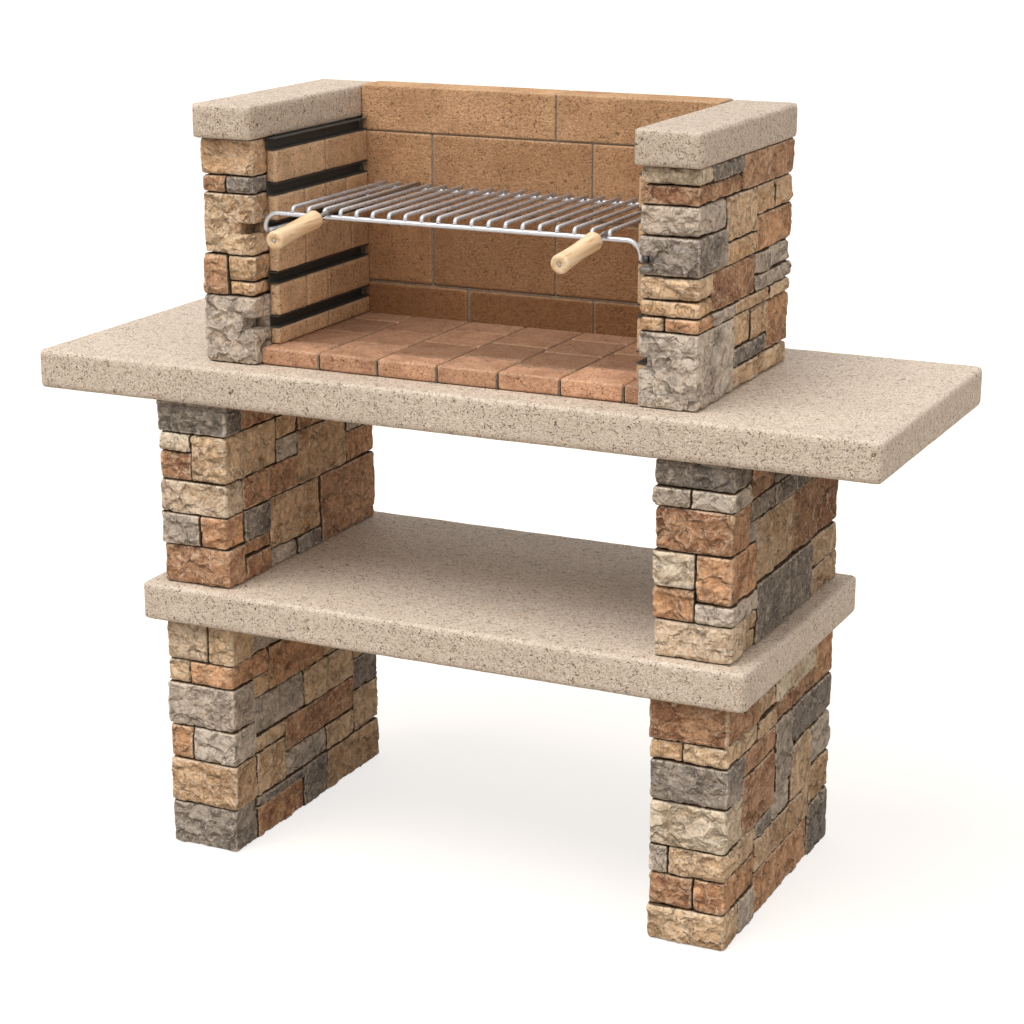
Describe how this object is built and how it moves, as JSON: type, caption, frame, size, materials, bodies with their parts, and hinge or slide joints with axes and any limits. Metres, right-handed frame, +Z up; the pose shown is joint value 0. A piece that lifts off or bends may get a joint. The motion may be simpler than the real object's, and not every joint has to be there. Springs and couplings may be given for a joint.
{
  "type": "masonry barbecue",
  "caption": "Free-standing masonry barbecue: stone-faced piers, washed concrete worktop and shelf, firebrick hearth and a wire grill that slides in side grooves.",
  "frame": {"origin": "on the ground under the middle of the object's box", "axes": "+X along the width to the user's right, +Y to the back, +Z up"},
  "size_m": [1.55, 0.6894, 1.344],
  "materials": {
    "washed_concrete": "washed aggregate, rough",
    "core_concrete": "cast, rough",
    "limestone": "split face",
    "sandstone": "split face",
    "ironstone": "split face",
    "greystone": "split face",
    "slate": "split face",
    "hearth_brick": "fired, matt",
    "joint_sand": "loose, matt",
    "firebrick": "fired, matt",
    "blackened_steel": "satin black",
    "fire_plate": "fired, matt",
    "mortar": "struck, matt",
    "chrome_wire": "bright",
    "beech": "sanded, oiled",
    "pin_steel": "bright"
  },
  "bodies": {
    "masonry": {"worktop_slab": "washed_concrete", "shelf_slab": "washed_concrete", "lower_left_core": "core_concrete", "lower_right_core": "core_concrete", "middle_left_core": "core_concrete", "middle_right_core": "core_concrete", "upper_left_core": "core_concrete", "upper_right_core": "core_concrete", "lower_left_limestone": "limestone", "lower_left_sandstone": "sandstone", "lower_left_ironstone": "ironstone", "lower_left_greystone": "greystone", "lower_left_slate": "slate", "lower_right_limestone": "limestone", "lower_right_sandstone": "sandstone", "lower_right_ironstone": "ironstone", "lower_right_greystone": "greystone", "lower_right_slate": "slate", "middle_left_limestone": "limestone", "middle_left_sandstone": "sandstone", "middle_left_ironstone": "ironstone", "middle_left_greystone": "greystone", "middle_left_slate": "slate", "middle_right_limestone": "limestone", "middle_right_sandstone": "sandstone", "middle_right_ironstone": "ironstone", "middle_right_greystone": "greystone", "middle_right_slate": "slate", "upper_left_limestone": "limestone", "upper_left_sandstone": "sandstone", "upper_left_ironstone": "ironstone", "upper_left_greystone": "greystone", "upper_left_slate": "slate", "upper_right_limestone": "limestone", "upper_right_sandstone": "sandstone", "upper_right_ironstone": "ironstone", "upper_right_greystone": "greystone", "upper_right_slate": "slate", "left_cap": "washed_concrete", "right_cap": "washed_concrete", "hearth_bricks": "hearth_brick", "hearth_bed": "joint_sand", "left_liner": "firebrick", "right_liner": "firebrick", "left_channels": "blackened_steel", "right_channels": "blackened_steel", "back_wall_plates": "fire_plate", "back_wall_mortar": "mortar"},
    "grill": {"grill_front_rail": "chrome_wire", "grill_rear_rail": "chrome_wire", "grill_left_runner": "chrome_wire", "grill_right_runner": "chrome_wire", "grill_bars": "chrome_wire", "left_handle_rod": "chrome_wire", "right_handle_rod": "chrome_wire", "left_grip": "beech", "right_grip": "beech", "grip_pins": "pin_steel"}
  },
  "joints": [
    {"name": "grill_slide", "type": "slide", "parent": "masonry", "child": "grill", "axis": [0, -1, 0], "range_m": [0, 0.24]}
  ]
}
